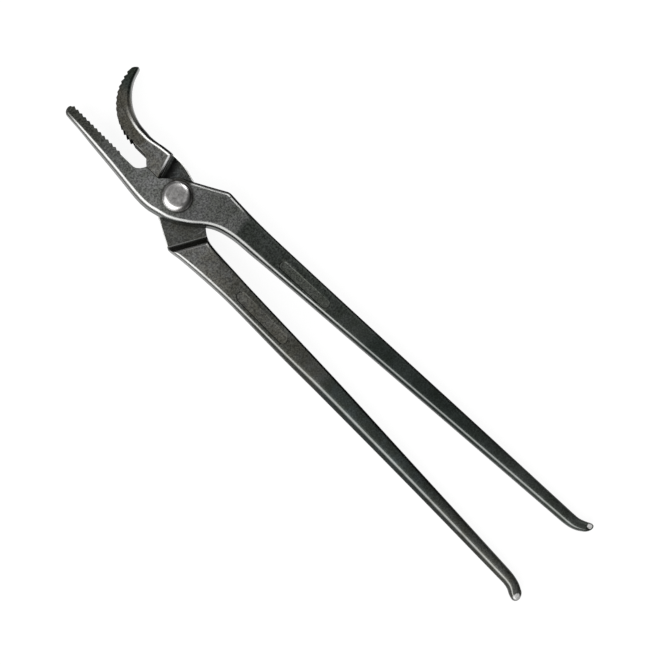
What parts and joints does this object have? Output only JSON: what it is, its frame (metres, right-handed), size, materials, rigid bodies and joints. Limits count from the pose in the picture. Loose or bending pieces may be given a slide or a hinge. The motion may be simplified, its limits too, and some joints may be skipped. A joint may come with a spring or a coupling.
{
  "type": "farrier nail clinchers",
  "caption": "Forged nail-clinching pliers with one straight and one curved toothed jaw, a half-lap joint turning on a domed rivet, and long slim handles that curl out at their ends.",
  "frame": {"origin": "where the pivot axis meets the ground back of the joint, on the rivet's flush tail", "axes": "+Z along the pivot towards the rivet's domed head, +Y towards the jaws, +X towards the curved jaw"},
  "size_m": [0.0656, 0.3553, 0.018],
  "materials": {
    "straight_lever_steel": "dark heat-treated forging skin with ground joint face and worn edges",
    "curved_lever_steel": "dark heat-treated forging skin with ground joint face and worn edges",
    "rivet_steel": "bright steel, domed head, lightly scuffed"
  },
  "bodies": {
    "straight_lever": {"straight_jaw_lever": "straight_lever_steel"},
    "curved_lever": {"curved_jaw_lever": "curved_lever_steel", "rivet": "rivet_steel"}
  },
  "joints": [
    {"name": "pivot", "type": "hinge", "parent": "straight_lever", "child": "curved_lever", "pos_m": [0, 0, 0.0075], "axis": [0, 0, -1], "range_deg": [0, 77]}
  ]
}
